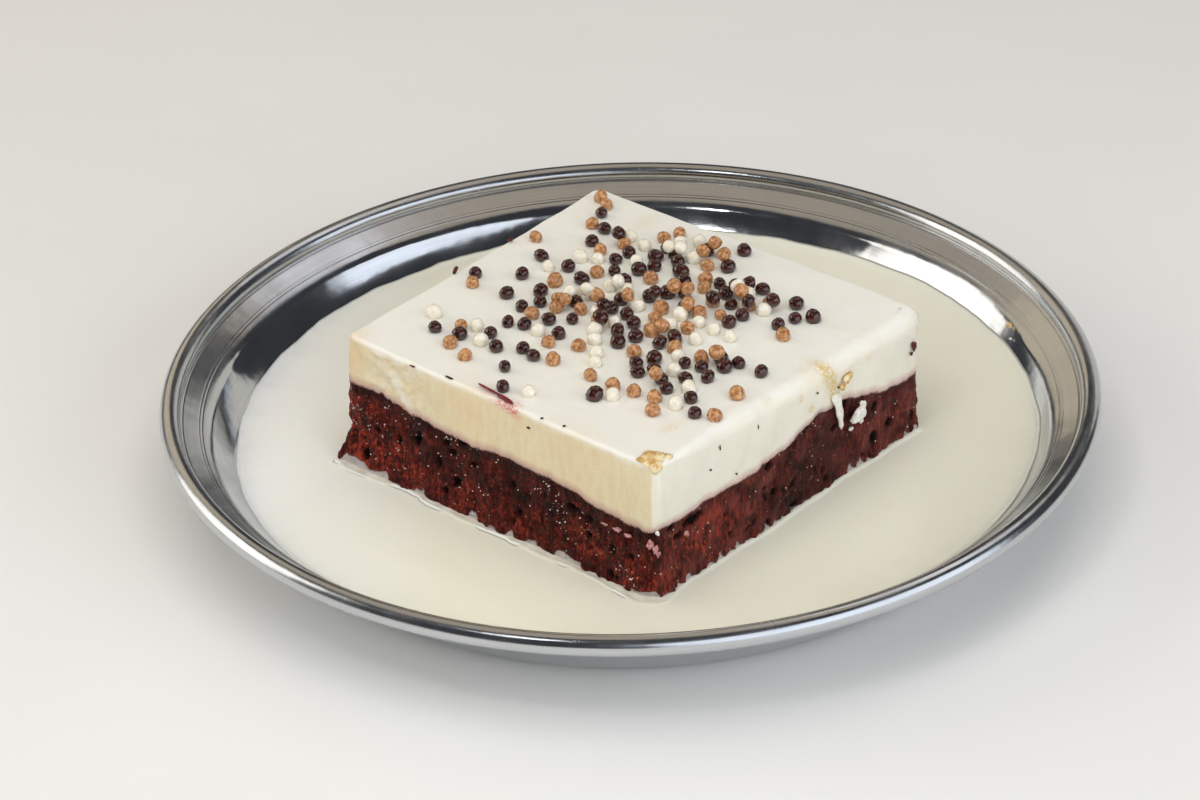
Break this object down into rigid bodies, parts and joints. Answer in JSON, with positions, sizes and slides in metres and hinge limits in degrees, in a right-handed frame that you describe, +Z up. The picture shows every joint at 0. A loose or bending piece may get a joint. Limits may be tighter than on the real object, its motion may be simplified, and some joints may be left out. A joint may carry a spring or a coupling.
{
  "type": "red velvet milk cake",
  "caption": "Square layered cake of red sponge and set cream, topped with crisp pearls, standing in milk in a shallow round steel plate with a rolled rim.",
  "frame": {"origin": "centre of the plate's underside, on the table", "axes": "+Z up; the cake's sides run along X and Y; the corner nearest the camera points to -X -Y"},
  "size_m": [0.2, 0.2, 0.0464],
  "materials": {
    "plate_steel": "pressed stainless steel, bright with fine circular marks",
    "milk": "sweet cream-coloured milk, glossy",
    "sponge": "moist dark red crumb",
    "cream": "set whipped cream, satin on top and cut faces at the sides",
    "dark_pearls": "dark chocolate glaze",
    "caramel_pearls": "caramel chocolate glaze",
    "ivory_pearls": "white chocolate glaze",
    "crumbs": "loose crumbs and smears"
  },
  "bodies": {
    "root": {"plate": "plate_steel", "milk": "milk", "sponge": "sponge", "cream": "cream"}
  },
  "joints": []
}
